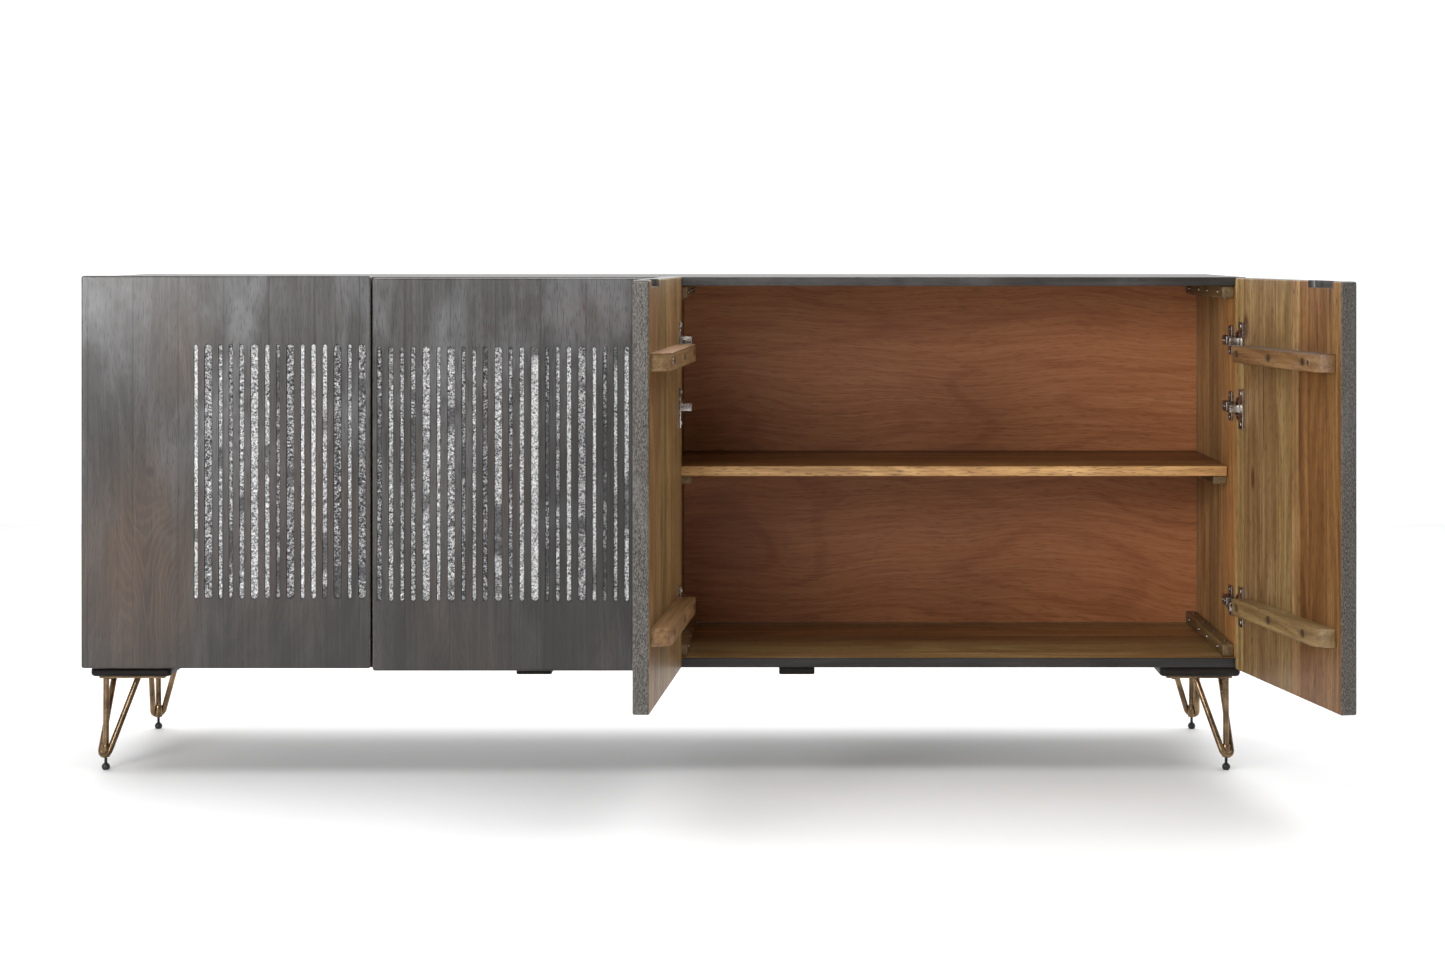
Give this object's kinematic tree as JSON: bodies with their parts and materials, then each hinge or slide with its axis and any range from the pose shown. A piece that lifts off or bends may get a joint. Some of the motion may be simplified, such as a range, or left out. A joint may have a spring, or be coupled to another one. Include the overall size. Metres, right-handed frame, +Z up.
{
  "type": "sideboard buffet",
  "caption": "Long low sideboard with two pairs of hinged doors inlaid with vertical strips, shelves behind them, and short hairpin legs with levelling feet.",
  "frame": {"origin": "bottom centre of the box around the whole part as stored, with the right-hand pair of doors open, on the floor", "axes": "+X along the length to the right as seen from the front, +Y towards the back, +Z up"},
  "size_m": [1.9122, 0.8944, 0.7824],
  "materials": {
    "stained_wood": "dark grey stain under satin lacquer, mottled",
    "natural_wood": "oiled natural mango wood, satin",
    "back_ply": "reddish brown plywood, flat lacquer",
    "hinge_steel": "bright nickel plate",
    "leg_bronze": "antique bronze lacquer, rubbed bright at the edges",
    "glide_plastic": "black, satin",
    "silver_inlay": "crinkled silver inlay"
  },
  "bodies": {
    "root": {"top_panel": "stained_wood", "bottom_panel": "stained_wood", "left_side_panel": "stained_wood", "right_side_panel": "stained_wood", "centre_partition": "natural_wood", "back_panel": "back_ply", "left_shelf": "natural_wood", "left_shelf_cleat_inner": "natural_wood", "left_shelf_cleat_outer": "natural_wood", "right_shelf": "natural_wood", "right_shelf_cleat_inner": "natural_wood", "right_shelf_cleat_outer": "natural_wood", "leg_block_front_left": "stained_wood", "hairpin_leg_front_left": "leg_bronze", "leg_block_front_right": "stained_wood", "hairpin_leg_front_right": "leg_bronze", "leg_block_rear_left": "stained_wood", "hairpin_leg_rear_left": "leg_bronze", "leg_block_rear_right": "stained_wood", "hairpin_leg_rear_right": "leg_bronze", "door_1_hinge_arm_1": "hinge_steel", "door_1_hinge_arm_2": "hinge_steel", "door_1_hinge_arm_3": "hinge_steel", "door_2_hinge_arm_1": "hinge_steel", "door_2_hinge_arm_2": "hinge_steel", "door_2_hinge_arm_3": "hinge_steel", "door_3_hinge_arm_1": "hinge_steel", "door_3_hinge_arm_2": "hinge_steel", "door_3_hinge_arm_3": "hinge_steel", "door_4_hinge_arm_1": "hinge_steel", "door_4_hinge_arm_2": "hinge_steel", "door_4_hinge_arm_3": "hinge_steel"},
    "door_1": {"door_1_panel": "stained_wood", "door_1_batten_upper": "natural_wood", "door_1_batten_lower": "natural_wood", "door_1_hinge_cup_1": "hinge_steel", "door_1_hinge_cup_2": "hinge_steel", "door_1_hinge_cup_3": "hinge_steel"},
    "door_2": {"door_2_panel": "stained_wood", "door_2_batten_upper": "natural_wood", "door_2_batten_lower": "natural_wood", "door_2_hinge_cup_1": "hinge_steel", "door_2_hinge_cup_2": "hinge_steel", "door_2_hinge_cup_3": "hinge_steel"},
    "door_3": {"door_3_panel": "stained_wood", "door_3_batten_upper": "natural_wood", "door_3_batten_lower": "natural_wood", "door_3_hinge_cup_1": "hinge_steel", "door_3_hinge_cup_2": "hinge_steel", "door_3_hinge_cup_3": "hinge_steel"},
    "door_4": {"door_4_panel": "stained_wood", "door_4_batten_upper": "natural_wood", "door_4_batten_lower": "natural_wood", "door_4_hinge_cup_1": "hinge_steel", "door_4_hinge_cup_2": "hinge_steel", "door_4_hinge_cup_3": "hinge_steel"},
    "foot_front_left": {"levelling_foot_front_left": "glide_plastic"},
    "foot_front_right": {"levelling_foot_front_right": "glide_plastic"},
    "foot_rear_left": {"levelling_foot_rear_left": "glide_plastic"},
    "foot_rear_right": {"levelling_foot_rear_right": "glide_plastic"}
  },
  "joints": [
    {"name": "door_1_hinge", "type": "hinge", "parent": "root", "child": "door_1", "pos_m": [-0.95022, 0.00162, 0.4725], "axis": [0, 0, -1], "range_deg": [0, 100.1]},
    {"name": "door_2_hinge", "type": "hinge", "parent": "root", "child": "door_2", "pos_m": [-0.05262, -0.00058, 0.4725], "axis": [0, 0, 1], "range_deg": [0, 85]},
    {"name": "door_3_hinge", "type": "hinge", "parent": "root", "child": "door_3", "pos_m": [-0.03082, -0.00058, 0.4725], "axis": [0, 0, -1], "range_deg": [-93.8, 0]},
    {"name": "door_4_hinge", "type": "hinge", "parent": "root", "child": "door_4", "pos_m": [0.86678, 0.00162, 0.4725], "axis": [0, 0, 1], "range_deg": [-100.1, 0]},
    {"name": "foot_front_left_screw", "type": "slide", "parent": "root", "child": "foot_front_left", "axis": [0, 0, -1], "range_m": [-0.004, 0.008]},
    {"name": "foot_front_right_screw", "type": "slide", "parent": "root", "child": "foot_front_right", "axis": [0, 0, -1], "range_m": [-0.004, 0.008]},
    {"name": "foot_rear_left_screw", "type": "slide", "parent": "root", "child": "foot_rear_left", "axis": [0, 0, -1], "range_m": [-0.004, 0.008]},
    {"name": "foot_rear_right_screw", "type": "slide", "parent": "root", "child": "foot_rear_right", "axis": [0, 0, -1], "range_m": [-0.004, 0.008]}
  ]
}
